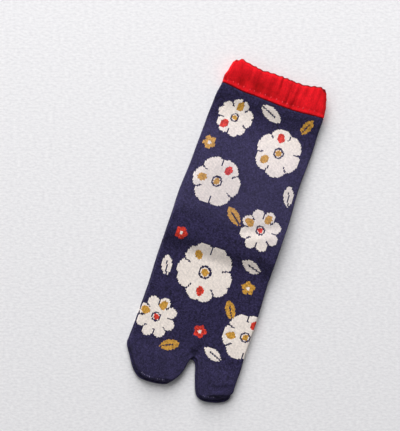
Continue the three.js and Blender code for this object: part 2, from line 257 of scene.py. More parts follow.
def creases(x, y):
    """The height that creases and slight waves add to the upper sock's front."""
    total = np.zeros(np.broadcast(x, y).shape)
    for ax, ay, bx, by, width, depth in CREASES:
        length2 = (bx - ax) ** 2 + (by - ay) ** 2
        t = np.clip(((x - ax) * (bx - ax) + (y - ay) * (by - ay)) / length2, 0, 1)
        away = np.hypot(x - ax - t * (bx - ax), y - ay - t * (by - ay))
        ends = 1 - END_FADE * np.abs(2 * t - 1) ** 3
        total -= depth * np.exp(-((away / (width / 2)) ** 2)) * ends
    for height, a, b, start, c, d, other in WAVES:
        total += height * np.sin(x / a + y / b + start) * np.sin(y / c + x / d + other)
    return total * ease(y, *TIP_FADE) * (1 - FADE_AT_CUFF * ease(y, *CUFF_FADE))


SOCKS = {
    "upper": {
        "pockets": (FOUR_TOES, BIG_TOE),
        "under": lambda x, y: upper_rise(x, y) - heel_flap(x, y),
        "over": lambda x, y: upper_rise(x, y) + flat_at(y),
        "inner_under": lambda x, y: upper_rise(x, y) + KNIT,
        "inner_over": lambda x, y: upper_rise(x, y) + flat_at(y) - KNIT,
        "cuff_under": CUFF_FLAT + SEAM,
        "front_up": True,
    },
    "lower": {
        "pockets": (FOUR_TOES, SQUARE_TOE),
        "under": lambda x, y: 0 * x,
        "over": lambda x, y: flat_at(y) + heel_flap(x, y),
        "inner_under": lambda x, y: 0 * x + KNIT,
        "inner_over": lambda x, y: flat_at(y) - KNIT + 0 * x,
        "cuff_under": 0.0,
        "front_up": False,
    },
}


def placed(sock, points):
    """Moves points in millimetres to where the sock lies, in metres."""
    points = np.array(points, float)
    if not SOCKS[sock]["front_up"]:
        down = (SEAM_Y - points[:, 1]) / (SEAM_Y - BIG_TOE["tip"][1])
        points[:, 0] += LOWER["sway"] * down
        points[:, 1] += LOWER["slip"]
    points[:, 0] -= CENTRE[0]
    points[:, 1] -= CENTRE[1]
    return points * MM


class StitchGrid:
    """Which stitch each face of a ring belongs to, and each stitch's x, unrolled from the front.

    first is the ring's first stitch, and walls say which folds are new stitches at the crotch.
    """

    def __init__(self, front_up, first=0, wales=WALES_FRONT, walls=(False, False)):
        layer = WALES_FRONT + WALES_FOLD
        # Faces to a stitch, over, round the right fold, under and round the left fold.
        faces = (2, 2, 1, 2) if front_up else (1, 2, 2, 2)
        starts = (first, WALES_FRONT, WALES_FRONT + layer - first - wales, WALES_FRONT + layer)
        counts = (wales, WALES_FOLD, wales, WALES_FOLD)
        stitch, legs, around, new = [], [], [], []
        new_folds = (False, walls[0], False, walls[1])
        for start, count, each, wall in zip(starts, counts, faces, new_folds):
            stitch.append(sum(map(len, around)) + np.arange(count * each) // each)
            legs.append(np.full(count * each, 2 // each))
            around.append(start + np.arange(count))
            new.append(np.full(count, wall))
        index = np.concatenate(around)
        if not front_up:
            index = WALES_FRONT + layer - 1 - index
        self.first = first
        self.over, self.fold, self.under = wales * faces[0], 2 * WALES_FOLD, wales * faces[2]
        self.stitch, self.legs, self.wall = map(np.concatenate, (stitch, legs, new))
        self.x = FIRST_WALE + (index + 0.5) * WALE
        self.middle = self.stitch == np.roll(self.stitch, 1)


def ring(
    left, right, over_faces, under_faces, fold, reach, inset, y_at, under, over,
    lift=None, spread=None,
):
    """A closed section: over the tube from left to right, round a fold, back and round.

    left and right are edge points. A fold turns in the direction that points out there.
    lift adds to y, and spread moves the stitches along the section.
    """
    whole = min(reach, (right[0] - left[0]) * FOLD_SHARE)
    inner = whole * (1 - inset / reach)
    start, end = left[0] - whole * left[1], right[0] - whole * right[1]

    def layer(faces):
        t = np.linspace(0, 1, faces + 1)
        xs = start + (end - start) * (t if spread is None else spread(t, start, end))
        ys = y_at(xs) - whole * (left[2] + (right[2] - left[2]) * t)
        if lift is not None:
            ys = ys + lift(xs)
        low, high = under(xs), over(xs)
        return xs, ys, (low + high) / 2, np.maximum(THINNEST, (high - low) / 2)

    xs, ys, middle, half = layer(over_faces)
    turn = np.arange(1, fold) / fold * np.pi

    def round_edge(i, edge, way):
        away = inner * np.sin(turn)
        heights = middle[i] + way * half[i] * np.cos(turn)
        return np.stack([xs[i] + away * edge[1], ys[i] + away * edge[2], heights], 1)

    top = np.stack([xs, ys, middle + half], 1)
    low_xs, low_ys, low_middle, low_half = layer(under_faces)
    bottom = np.stack([low_xs, low_ys, low_middle - low_half], 1)[::-1]
    return np.concatenate([top, round_edge(-1, right, 1), bottom, round_edge(0, left, -1)])


def new_piece(name, points, faces, colours, grid=None):
    """A smooth piece, with a colour and maybe a place in the stitch grid for each face corner."""
    mesh = bpy.data.meshes.new(name)
    mesh.from_pydata(points, [], faces)
    if grid is not None:
        uv = mesh.uv_layers.new(name="stitch_grid")
        uv.data.foreach_set("uv", grid.astype(np.float32).ravel())
    layer = mesh.color_attributes.new("yarn_colour", "FLOAT_COLOR", "CORNER")
    layer.data.foreach_set("color", np.array(colours, np.float32).ravel())
    mesh.polygons.foreach_set("use_smooth", np.ones(len(faces), bool))
    mesh.validate()
    mesh.update()
    piece = bpy.data.objects.new(name, mesh)
    bpy.context.scene.collection.objects.link(piece)
    return piece


class Knitting:
    """Collects points and faces. Each face keeps its place in the stitch grid and its yarn."""

    def __init__(self):
        self.points, self.faces, self.grid, self.yarn = [], [], [], []
        self.count = 0

    def add_ring(self, points):
        first = self.count
        self.points.append(points)
        self.count += len(points)
        return np.arange(first, self.count)

    def band(self, a, b, course, legs, yarn=None, first_leg=0, height=1.0):
        """Faces between two rings of point numbers, pointing out if b is nearer the toes.

        course is where the band starts in the grid, and height how many courses it spans.
        """
        self.faces.append(np.stack([a, b, np.roll(b, -1), np.roll(a, -1)], 1))
        right = first_leg + np.cumsum(legs)
        left = right - legs
        low, high = np.full(len(a), float(course)), np.full(len(a), course + height)
        corners = ((left, low), (left, high), (right, high), (right, low))
        self.grid.append(np.stack([np.stack(corner, 1) for corner in corners], 1))
        self.yarn.append(np.zeros(len(a), int) if yarn is None else yarn)

    def mesh(self, name, sock, palette, caps=()):
        """The finished piece. Its caps close the toe tips, in the palette's first colour."""
        points = placed(sock, np.concatenate(self.points)).tolist()
        faces = [*map(tuple, np.concatenate(self.faces).tolist()), *caps]
        spare = sum(map(len, caps))
        grid = np.concatenate(self.grid).reshape(-1, 2)
        grid = np.concatenate([grid, np.full((spare, 2), 0.5)])
        yarn = np.repeat(np.concatenate(self.yarn), 4)
        yarn = np.concatenate([yarn, np.zeros(spare, int)])
        return new_piece(name, points, faces, np.array(palette)[yarn], grid)


NAVY, CREAM, OCHRE, ACCENT = range(4)

# Kinds of blossom: petals, how far in the waists between them come, how round their ends are,
# and the notch in each end in mm. Large ones also have the share of the radius where the lines
# between petals start, the yarns of the patches on two petals, and the eye's yarn.
KINDS = (
    {"petals": 5, "waist": 0.80, "round": 0.55, "notch": 1.6,
     "lines": 0.60, "patches": (OCHRE, ACCENT), "eye": OCHRE},
    {"petals": 6, "waist": 0.84, "round": 0.5, "notch": 0,
     "lines": 0.64, "patches": (ACCENT, OCHRE), "eye": OCHRE},
    {"petals": 8, "waist": 0.74, "round": 0.8, "notch": 0,
     "lines": 0.56, "patches": (OCHRE, OCHRE), "eye": ACCENT},
    {"petals": 5, "waist": 0.62, "round": 0.6, "notch": 0},
)
NOTCH_HALF = 4.5  # degrees
PETAL_LINE = 0.58  # mm, half the width of a line between petals
# Patches: the petals that have one, its half width and half length in mm, and its share of
# the radius.
PATCHED, PATCH, PATCH_AT = (1, 3), (3.1, 3.9), 0.64
EYE_RING, EYE, SMALL_EYE = (0.16, 0.23), 0.13, 1.5  # shares of the radius, and mm
# A leaf's vein: half its width in mm, and where it runs from and to, -1 to 1 along the leaf.
VEIN_HALF, VEIN = 0.56, (-0.95, 0.40)
LEAF_TAPER = 0.8
# Blossoms: x, y, radius, turn in degrees, kind and yarn. The back follows on from the front's
# right edge, so x runs past 46 there.
BLOSSOMS = (
    (-24, 89, 15.5, 10, 0, CREAM),
    (21, 73, 19.5, 40, 1, CREAM),
    (-20, 36, 20.0, 0, 1, CREAM),
    (27, 10, 17.0, 25, 2, CREAM),
    (-5, -36, 24.0, 55, 0, CREAM),
    (43, -75, 19.0, 10, 1, CREAM),
    (-32, -82, 17.0, 30, 2, CREAM),
    (72, 84, 19.0, 15, 0, CREAM),
    (112, 60, 20.0, 35, 1, CREAM),
    (74, 34, 18.0, 50, 2, CREAM),
    (116, 22, 15.0, 5, 0, CREAM),
    (90, -50, 22.0, 20, 1, CREAM),
    (118, -84, 17.0, 45, 2, CREAM),
    (-37, 64, 5.6, 50, 3, OCHRE),
    (-34, -12, 5.4, 0, 3, ACCENT),
    (33, -37, 5.8, 30, 3, OCHRE),
    (6, -82, 5.4, 10, 3, ACCENT),
    (94, 88, 5.4, 30, 3, ACCENT),
    (92, 12, 5.4, 0, 3, OCHRE),
    (64, -74, 5.4, 20, 3, ACCENT),
)
# Leaves: x, y, length, width, turn in degrees, and the yarn.
LEAVES = (
    (4, 101, 22, 9.5, -22, CREAM),
    (37, 100, 15, 7.5, 62, OCHRE),
    (41, 43, 17, 8.5, 100, CREAM),
    (3, 14, 18, 8.5, 140, OCHRE),
    (-37, -40, 17, 8.5, 100, CREAM),
    (30, -20, 18, 9.0, 165, CREAM),
    (24, -58, 16, 8.0, 120, OCHRE),
    (22, -96, 17, 8.5, 160, CREAM),
    (-14, -100, 17, 8.5, 25, OCHRE),
    (60, 60, 17, 8.0, 50, CREAM),
    (132, 90, 17, 8.0, 40, OCHRE),
    (62, 4, 17, 8.0, 70, CREAM),
    (134, 0, 17, 8.0, 110, CREAM),
    (96, -14, 17, 8.0, 20, CREAM),
    (120, -40, 17, 8.0, 130, OCHRE),
    (88, -88, 17, 8.0, 150, CREAM),
)
# All is navy above the first y and below the second, and between the others on the back.
PLAIN_ABOVE, PLAIN_BELOW = 109.5, -112.0
PLAIN_HEEL = (-34.0, 14.0)
FRONT_ENDS = 47.5  # unrolled x where the front gives way to the back


def yarns(px, py):
    """Which yarn each stitch takes, from its place round and along the sock in millimetres."""
    found = np.full(px.shape, NAVY)

    def around(x):
        return (px - x + ROUND / 2) % ROUND - ROUND / 2

    for x, y, length, width, turn, yarn in LEAVES:
        dx, dy, a = around(x), py - y, np.radians(turn)
        along = (dx * np.cos(a) + dy * np.sin(a)) / (length / 2)
        across = -dx * np.sin(a) + dy * np.cos(a)
        half = width / 2 * np.maximum(0, 1 - along**2) ** LEAF_TAPER
        found[(np.abs(along) < 1) & (np.abs(across) < half)] = yarn
        found[(np.abs(across) < VEIN_HALF) & (along > VEIN[0]) & (along < VEIN[1])] = NAVY
    for x, y, radius, turn, kind, yarn in BLOSSOMS:
        kind = KINDS[kind]
        dx, dy = around(x), py - y
        r, a = np.hypot(dx, dy), np.degrees(np.arctan2(dy, dx)) - turn
        part = 360 / kind["petals"]
        off = np.abs((a + part / 2) % part - part / 2)
        lobe = np.cos(np.radians(off * 90 / (part / 2))) ** kind["round"]
        edge = radius * (kind["waist"] + (1 - kind["waist"]) * lobe)
        edge = edge - kind["notch"] * np.exp(-((off / NOTCH_HALF) ** 2))
        inside = r < edge
        found[inside] = yarn
        if "eye" not in kind:
            found[r < SMALL_EYE] = CREAM
            continue
        gap = r * np.sin(np.radians(part / 2 - off))
        found[inside & (gap < PETAL_LINE) & (r > kind["lines"] * radius)] = NAVY
        petal = np.floor((a + part / 2) / part) % kind["petals"]
        aside, out = r * np.sin(np.radians(off)), r - PATCH_AT * radius
        blot = (aside / PATCH[0]) ** 2 + (out / PATCH[1]) ** 2
        for which, patch in zip(PATCHED, kind["patches"]):
            found[inside & (petal == which) & (blot < 1)] = patch
        found[(r < EYE_RING[1] * radius) & (r > EYE_RING[0] * radius)] = NAVY
        found[r < EYE * radius] = kind["eye"]
    return found


def toe_row(form, pocket, y, grid, inset, under, over):
    """A toe pocket's section at y."""
    lowest = pocket["tip"][1]
    left = edge_point(lambda at: pocket_edge(pocket, 1, at), y, -1, lowest)
    right = edge_point(lambda at: pocket_edge(pocket, 2, at), y, 1, lowest)
    loft = pocket["loft"] * ease(CROTCH[1] - y, 0, LOFTED) * form["front_up"]

    def high(x):
        across = np.clip((2 * x - left[0] - right[0]) / (right[0] - left[0]), -1, 1)
        return over(x, y) + loft * (1 - across**2)

    def spread(t, start, end):
        """Narrows the stitches beside the crotch first, so that the others run straight on."""
        power = 1 + NARROWING * (1 - ease(CROTCH[1] - y, 0, NARROWED))
        crotch_right = pocket["tip"][0] < CROTCH[0]
        full = CROTCH[0] - start if crotch_right else end - CROTCH[0]
        share = t if crotch_right else 1 - t
        share = (full * share - (full - end + start) * share**power) / (end - start)
        return share if crotch_right else 1 - share

    return ring(
        left, right, grid.over, grid.under, grid.fold, FLAT / 2, inset,
        lambda x: y + 0 * x, lambda x: under(x, y), high, spread=spread,
    )


def whole_row(y, grid, inset, under, over):
    """A section of the leg or foot at y, bent to follow the cuff's seam or the crotch."""
    left = edge_point(lambda at: side_edge(1, at), y, -1, CROTCH[1] - 1)
    right = edge_point(lambda at: side_edge(2, at), y, 1, CROTCH[1] - 1)
    bow = ease(y, BOW_Y, SEAM_Y)

    def lift(x):
        edge = np.where(x < CROTCH[0], left[0], right[0])
        near = 1 - np.clip((x - CROTCH[0]) / (edge - CROTCH[0]), 0, 1)
        return FLAT / 2 * near * ease(y, CROTCH[1] + CROTCH_BEND, CROTCH[1])

    return ring(
        left, right, grid.over, grid.under, grid.fold, flat_at(y) / 2, inset,
        lambda x: y + bow * (from_table(SEAM_LINE, 1, x) - SEAM / 2 - SEAM_Y),
        lambda x: under(x, y), lambda x: over(x, y), lift,
    )


def knit_body(sock, palette):
    """A sock's leg, foot and pockets, one face for each leg of each stitch on its front."""
    form = SOCKS[sock]
    front_up = form["front_up"]
    course = (SEAM_Y - CROTCH[1]) / COURSES
    knitting = Knitting()
    grid = StitchGrid(front_up)
    pocket_grids = (
        StitchGrid(front_up, 0, WALES_FOUR, (True, False)),
        StitchGrid(front_up, WALES_FOUR, WALES_FRONT - WALES_FOUR, (False, True)),
    )
    split = pocket_grids[0].over
    below = grid.over + grid.fold + pocket_grids[1].under

    def creased(x, y):
        return form["over"](x, y) + (creases(x, y) if front_up else 0)

    def lining(x, y):
        return np.minimum(form["inner_over"](x, y), creased(x, y) - LINING)

    def surface(inner):
        """Rows of sections, the wall at the crotch and the pockets' sections."""
        inset = KNIT if inner else 0.0
        under = form["inner_under"] if inner else form["under"]
        over = lining if inner else creased
        if inner:
            ys = np.linspace(SEAM_Y, CROTCH[1], INNER_ROWS)
        else:
            ys = SEAM_Y - course * np.arange(COURSES + 1)
        rows = [whole_row(y, grid, inset, under, over) for y in ys]
        parting = rows[-1]
        for i in (split, below):
            parting[i][0], parting[i][1] = CROTCH[0], CROTCH[1] + FLAT / 2
        turn = np.arange(1, grid.fold) / grid.fold * np.pi
        top, bottom = parting[split][2], parting[below][2]
        wall = np.stack(
            [
                0 * turn + CROTCH[0],
                CROTCH[1] + FLAT / 2 - (FLAT / 2 - inset) * np.sin(turn),
                (top + bottom) / 2 + (top - bottom) / 2 * np.cos(turn),
            ],
            1,
        )
        pockets = []
        for pocket, pocket_grid in zip(form["pockets"], pocket_grids):
            deepest = CROTCH[1] - pocket["tip"][1]
            if inner:
                turned = np.linspace(INNER_TURN, LAST_TURN, INNER_TURNED)
                deep = [*INNER_FIRST, *(deepest * np.sin(turned))]
            else:
                start = np.arcsin(STRAIGHT_ROWS * course / deepest)
                turned = np.linspace(start, LAST_TURN, TURNED_ROWS)
                straight = np.arange(1, STRAIGHT_ROWS) * course
                deep = [*FIRST_ROWS, *straight, *(deepest * np.sin(turned))]
            faces = (pocket_grid, inset, under, over)
            pockets.append([toe_row(form, pocket, CROTCH[1] - d, *faces) for d in deep])
        return rows, wall, pockets

    def slanted(points, middle, amount):
        """Lowers the middle of each stitch, so that stitches are V-shaped."""
        out = points.copy()
        out[middle, 1] -= amount
        return out

    def pattern_at(a, b, part):
        """The yarn of each face between two rings, one for each stitch."""
        y = (a[:, 1] + np.roll(a[:, 1], -1) + b[:, 1] + np.roll(b[:, 1], -1)) / 4
        y = np.bincount(part.stitch, weights=y) / np.bincount(part.stitch)
        back = (part.x > FRONT_ENDS) | (part.x < FRONT_ENDS - WALE * (WALES_FRONT + WALES_FOLD))
        plain = part.wall | (y < PLAIN_BELOW) | (y > PLAIN_ABOVE)
        plain |= back & (y > PLAIN_HEEL[0]) & (y < PLAIN_HEEL[1])
        return np.where(plain, NAVY, yarns(part.x, y))[part.stitch]

    rows, wall, pockets = surface(False)
    inner_rows, inner_wall, inner_pockets = surface(True)
    numbers = []
    for i, row in enumerate(rows):
        slant = LEG_SLANT * ease(i, 1, 6) * ease(len(rows) - 1 - i, 0, 5)
        numbers.append(knitting.add_ring(slanted(row, grid.middle, slant)))
    for i in range(len(rows) - 1):
        yarn = pattern_at(rows[i], rows[i + 1], grid)
        knitting.band(numbers[i], numbers[i + 1], i, grid.legs, yarn)

    inner_numbers = [knitting.add_ring(row) for row in inner_rows]
    for i in range(len(inner_rows) - 1, 0, -1):
        knitting.band(inner_numbers[i], inner_numbers[i - 1], INNER_COURSES * i, grid.legs)
    knitting.band(inner_numbers[0], numbers[0], -1, grid.legs)

    def halves(whole, between):
        """The parting section as the first sections of the two pockets."""
        return (
            np.concatenate([whole[: split + 1], between, whole[below:]]),
            np.concatenate([whole[split : below + 1], between[::-1]]),
        )

    caps = []
    first = len(FIRST_ROWS)  # these rows share one course
    for outward, last, wall_points, parts in (
        (True, numbers[-1], wall, pockets),
        (False, inner_numbers[-1], inner_wall, inner_pockets),
    ):
        starts = halves(last, knitting.add_ring(wall_points))
        start_points = halves(rows[-1], wall)
        for k, part in enumerate(pocket_grids):
            previous, previous_points = starts[k], start_points[k]
            count = len(parts[k])
            close = [0, *(deep / course for deep in FIRST_ROWS), *range(1, count - first + 1)]
            heights = np.diff(close if outward else np.arange(count + 1))
            yarn = None
            for j, points in enumerate(parts[k]):
                slant = LEG_SLANT * ease(j, 0, 4) * ease(count - 1 - j, 2, 8) if outward else 0
                current = knitting.add_ring(slanted(points, part.middle, slant))
                a, b = (previous, current) if outward else (current, previous)
                if outward and (j == 0 or j > first):
                    yarn = pattern_at(previous_points, parts[k][max(j, first)], part)
                start = COURSES + heights[:j].sum()
                knitting.band(a, b, start, part.legs, yarn, 2 * part.first, heights[j])
                previous, previous_points = current, points
            tip_x, tip_y = map(np.array, form["pockets"][k]["tip"])
            z = (form["under"](tip_x, tip_y) + form["over"](tip_x, tip_y)) / 2
            tip = (float(tip_x), float(tip_y) + (0 if outward else KNIT), float(z))
            pole = knitting.add_ring(np.array([tip]))[0]
            for p, q in zip(previous.tolist(), np.roll(previous, -1).tolist()):
                caps.append((p, pole, q) if outward else (p, q, pole))
    return knitting.mesh(f"{sock}_sock_knit", sock, palette, caps)


# Gathers down the cuffs: x, width, depth, lean, and the shares of the cuff's height between
# which they show. A negative depth is a ridge.
TROUGHS = (
    (-33.0, 9.0, -0.25, 0.0, -0.2, 1.3),
    (-26.5, 7.0, 0.60, 0.6, -0.4, 0.80),
    (-21.6, 2.4, 0.50, 0.2, 0.25, 1.3),
    (-19.2, 2.6, -0.45, 0.2, 0.30, 1.2),
    (-14.2, 6.5, 1.00, -0.4, -0.4, 1.2),
    (-7.2, 3.4, -0.30, 0.3, -0.2, 1.2),
    (-2.6, 5.0, 0.85, 0.5, -0.4, 0.90),
    (2.2, 2.2, -0.30, 0.0, 0.3, 1.3),
    (3.7, 1.5, 0.50, 0.2, 0.35, 1.4),
    (5.6, 1.5, 0.45, -0.2, 0.45, 1.4),
    (8.2, 3.4, -0.25, 0.0, 0.2, 1.2),
    (11.8, 2.6, 0.80, 0.3, -0.2, 1.3),
    (14.3, 1.9, 0.45, 0.2, 0.3, 1.4),
    (18.0, 3.6, 0.95, 1.0, -0.4, 0.85),
    (21.5, 3.0, -0.25, 0.4, 0.1, 1.2),
    (25.0, 2.4, 0.50, 0.2, 0.3, 1.3),
    (31.0, 8.0, -0.22, 0.0, -0.2, 1.2),
    (36.5, 4.5, 0.32, -0.3, -0.2, 1.2),
)
TROUGH_ENDS = 0.35  # share of the height over which a trough starts or ends
TROUGH_LEAN, DENT_LEAN = 2.2, 4.0  # mm over the height, for a trough's lean of 1 and for a dent
# Small gathers at the rim: their number, the edge and width they are counted across, and the
# height, rate and start of two sines, and the radians, that make them uneven.
GATHERS, GATHERED, UNEVEN_TURN = 16, (43.0, 88.0), 2.4
UNEVEN = ((0.35, 21.0, 0.6), (0.22, 47.0, 0.0))
GATHER_FROM = (0.1, 0.95)  # shares of the height over which they deepen
GATHER_DEPTH, GATHER_UNDER, TROUGH_UNDER = 0.36, 0.34, 0.5
RIM_GATHER, RIM_TROUGH = 0.55, 0.35  # how far each draws the rim down
RIB, RIB_HALF = 1.83, 0.05  # mm from one rib to the next, and half its height
LIP = 0.085  # share of the height that the rolled lower lip takes
LIP_HEIGHT, LIP_MIDDLE, LIP_HALF = 0.22, LIP * 0.45, LIP * 0.42
HEM, HEM_DEPTH, HEM_HALF = 0.165, 0.22, 0.045  # the groove at the row of stitches
PUFF, PUFF_ROUND = 0.30, 0.7  # how the upper cuff swells
CUFF_COLUMNS, CUFF_FOLD, CUFF_ROWS = 288, 16, 20
# Rows at the lower lip and at the rim: share, and how far the fold has drawn in.
LIP_ROWS = (
    (0.0, 0.70), (0.010, 0.35), (0.028, 0.12), (0.05, 0.02),
    (0.08, 0.0), (0.11, 0.0), (0.135, 0.0), (0.16, 0.0),
)
MIDDLE_ROWS = (0.185, 0.91)  # shares of the first and the last
RIM_ROWS = ((0.94, 0.1), (0.965, 0.28), (0.985, 0.55), (0.996, 0.85), (1.0, 1.15))
INSIDE_ROWS = (0.0, 0.35, 0.7, 0.985)  # shares, on the inner face
# How pale a cuff's yarn is, 0 to 1, as painted light and shade. Dents, troughs, the rim and a
# wide hollow right above the hem get painted shade; the upper half, most at the left, gets
# painted light.
# Ranges are shares of the height.
SHADES = 48
PALE, DENT_DARK, TROUGH_DARK = 0.69, 0.34, 0.20
UPPER_PALE, UPPER_LESS, UPPER = 0.14, 0.008, (0.45, 0.85)
RIM_DARK, RIM_RANGE = 0.90, (0.935, 0.975)
HOLLOW_DARK, HOLLOW_X, HOLLOW_HALF = 0.32, -12, 22
HOLLOW_START, HOLLOW_END = (0.08, 0.20), (0.36, 0.55)
DARK_EDGE = 0.25  # the grey below which a cuff's yarn is darker than its shade colour, as painted shade at rim and folds
# Shares of the height over which the rim, and the side folds above the lip, get painted shade.
EDGE_RANGE, FOLD_RANGE = (0.945, 0.985), (0.10, 0.16)
# Broad soft hollows in the front of a cuff: x, share, half width, half share, depth.
DENTS = (
    (-31, 0.32, 8.0, 0.28, 0.90),
    (-24, 0.52, 6.0, 0.22, 0.55),
    (-12, 0.44, 7.5, 0.26, 1.00),
    (4, 0.50, 5.0, 0.26, 0.40),
    (18, 0.12, 4.5, 0.26, 0.85),
    (14, 0.45, 2.6, 0.35, 0.35),
    (-19, 0.20, 4.0, 0.12, -0.45),
    (-39, 0.62, 3.0, 0.35, -0.50),
    (0, 0.92, 40.0, 0.16, -0.30),
    (33, 0.62, 9.0, 0.36, -0.35),
)


def cuff_shapes(x, share):
    """How gathered the rim is, 0 to 1, and how far the troughs sink."""
    across = (x + GATHERED[0]) / GATHERED[1]
    uneven = sum(height * np.sin(across * rate + start) for height, rate, start in UNEVEN)
    gather = (1 - np.cos(2 * np.pi * (GATHERS * across) + uneven * UNEVEN_TURN)) / 2
    trough = np.zeros(np.shape(x))
    for at, width, depth, lean, low, high in TROUGHS:
        off = x - at - lean * TROUGH_LEAN * (share - 0.5)
        starts, ends = low + TROUGH_ENDS, high - TROUGH_ENDS
        shows = ease(share, low, starts) * (1 - ease(share, ends, high))
        trough += depth * shows * np.exp(-((off / (width / 2)) ** 2))
    return gather, trough


def dents(x, share):
    """How deep the broad hollows are."""
    total = 0 * x
    for at, middle, wide, tall, depth in DENTS:
        across = (x - at - DENT_LEAN * (middle - share)) / wide
        total = total + depth * np.exp(-(across**2 + ((share - middle) / tall) ** 2))
    return total


def cuff_y(x, share):
    """y at a share of a cuff's height, 0 at the seam and 1 at the rim."""
    gather, trough = cuff_shapes(x, share)
    low = from_table(SEAM_LINE, 1, x) + SEAM / 2
    drawn = RIM_GATHER * gather, RIM_TROUGH * np.maximum(0, trough)
    rim = from_table(RIM_LINE, 1, x) - drawn[0] - drawn[1]
    return low + (rim - low) * share


def cuff_top(form, x, share):
    """The height of a cuff's upper face."""
    front_up = form["front_up"]
    gather, trough = cuff_shapes(x, share)
    rib = RIB_HALF * (1 - np.cos(2 * np.pi * x / RIB))
    lip = LIP_HEIGHT * np.exp(-(((share - LIP_MIDDLE) / LIP_HALF) ** 2))
    groove = HEM_DEPTH * np.exp(-(((share - HEM) / HEM_HALF) ** 2))
    puff = PUFF * np.sin(np.pi * np.clip(share, 0, 1)) ** PUFF_ROUND * front_up
    down = GATHER_DEPTH * gather * ease(share, *GATHER_FROM) + rib + groove - lip * front_up
    down = down + dents(x, share) * front_up
    sunk = trough * (1.0 if front_up else TROUGH_UNDER)
    return form["cuff_under"] + CUFF_FLAT + puff - down - sunk


def cuff_base(form, x, share):
    """The height of a cuff's lower face, which is flat where it rests on the floor."""
    gather, trough = cuff_shapes(-x, share)
    rise = GATHER_UNDER * gather * ease(share, *GATHER_FROM)
    rise = rise + TROUGH_UNDER * np.maximum(0, trough)
    return form["cuff_under"] + rise * form["front_up"]


def turn_cuff(sock):
    """A sock's turned cuff, gathered towards its rim."""
    form = SOCKS[sock]
    knitting = Knitting()
    base = form["cuff_under"]
    legs = np.ones(2 * (CUFF_COLUMNS + CUFF_FOLD), int)
    around = np.arange(len(legs)) % (CUFF_COLUMNS + CUFF_FOLD)
    # The columns at the side folds, which get painted shade.
    on_fold = ((around < 1) | (around > CUFF_COLUMNS - 2)).astype(float)

    def side(column, share, draw_in):
        way = -1 if column == 1 else 1
        return float(from_table(CUFF_SIDES, column, share)) - way * draw_in, way, 0.0

    def section(share, draw_in, inset, low, high):
        return ring(
            side(1, share, draw_in), side(2, share, draw_in), CUFF_COLUMNS, CUFF_COLUMNS,
            CUFF_FOLD, CUFF_FLAT / 2, inset, lambda x: cuff_y(x, share), low, high,
        )

    def outer(share, draw_in):
        return section(
            share, draw_in, 0.0,
            lambda x: cuff_base(form, x, share) + draw_in,
            lambda x: cuff_top(form, x, share) - draw_in,
        )

    def inner(share):
        return section(
            share, 0.0, WELT,
            lambda x: base + WELT + 0 * x, lambda x: base + CUFF_FLAT - WELT + 0 * x,
        )

    def paint_shading(numbers, low, high):
        """How pale each face of a band is, in steps: painted shade where the cloth sinks, at the
        rim and at the folds, and painted light on the upper half.
        """
        share = (low + high) / 2
        x = np.concatenate(knitting.points)[numbers, 0]
        _, trough = cuff_shapes(x, share)
        # Painted shade in dents and troughs, painted light on the upper half, and painted shade
        # at the rim and in the hollow over the hem.
        level = PALE - DENT_DARK * dents(x, share) - TROUGH_DARK * trough
        level = level + (UPPER_PALE - UPPER_LESS * x) * ease(share, *UPPER)
        level = level - RIM_DARK * ease(share, *RIM_RANGE)
        hollow = HOLLOW_DARK * np.exp(-(((x - HOLLOW_X) / HOLLOW_HALF) ** 2))
        level = level - hollow * ease(share, *HOLLOW_START) * (1 - ease(share, *HOLLOW_END))
        # Painted shade along the rim and the side folds.
        edge = np.maximum(ease(share, *EDGE_RANGE), on_fold * ease(share, *FOLD_RANGE))
        level = DARK_EDGE + (1 - DARK_EDGE) * np.clip(level, 0, 1) - DARK_EDGE * edge
        return np.round(np.clip(level, 0, 1) * (SHADES - 1)).astype(int)

    middle = [(share, 0.0) for share in np.linspace(*MIDDLE_ROWS, CUFF_ROWS)]
    shares = [*LIP_ROWS, *middle, *RIM_ROWS][::-1]
    chain = [knitting.add_ring(outer(share, draw_in)) for share, draw_in in shares]
    chain += [knitting.add_ring(inner(share)) for share in INSIDE_ROWS]
    # Each outer band gets its grey of painted light and shade.
    for i, numbers in enumerate(chain):
        outside = i < len(shares) - 1
        pale = paint_shading(numbers, shares[i][0], shares[i + 1][0]) if outside else 0 * numbers
        knitting.band(numbers, chain[(i + 1) % len(chain)], i, legs, pale)
    # The greys carry the painted light and shade to the cuff's material.
    greys = [(level, level, level, 1) for level in np.linspace(0, 1, SHADES)]
    return knitting.mesh(f"{sock}_sock_cuff_rib", sock, greys)


STITCH_FLATNESS, STITCH_ENDS = 3.6, 0.6  # width to half height, and how round the ends are
HEM_STITCHES = (-38.0, 41.5, 4.6)  # x from and to, and mm from one to the next
HEM_STITCH = (1.60, 1.05)  # length and width
TOE_STITCH = 0.5  # width
DULL_FROM, DULL = 13, 0.4  # x from which the hem's thread is duller, and how much
# Rows of stitches round the upper sock's toe tips: pocket, the turn on the left edge where the
# row starts and on the right edge where it ends, mm inside the edge, and mm from one stitch to
# the next.
TOE_SEAMS = (
    (FOUR_TOES, 1.16, 1.22, 1.9, 1.30),
    (BIG_TOE, 1.30, 1.18, 1.9, 1.45),
)


def on_cloth(cloth, sock, x, y, over=True):
    """The place and normal on a cloth piece over or under a point of its sock."""
    px, py, _ = placed(sock, [(x, y, 0)])[0]
    away = 0.1 if over else -0.1
    hit, place, normal, _ = cloth.ray_cast((px, py, away), (0, 0, -away))
    return (place, normal) if hit else (None, None)


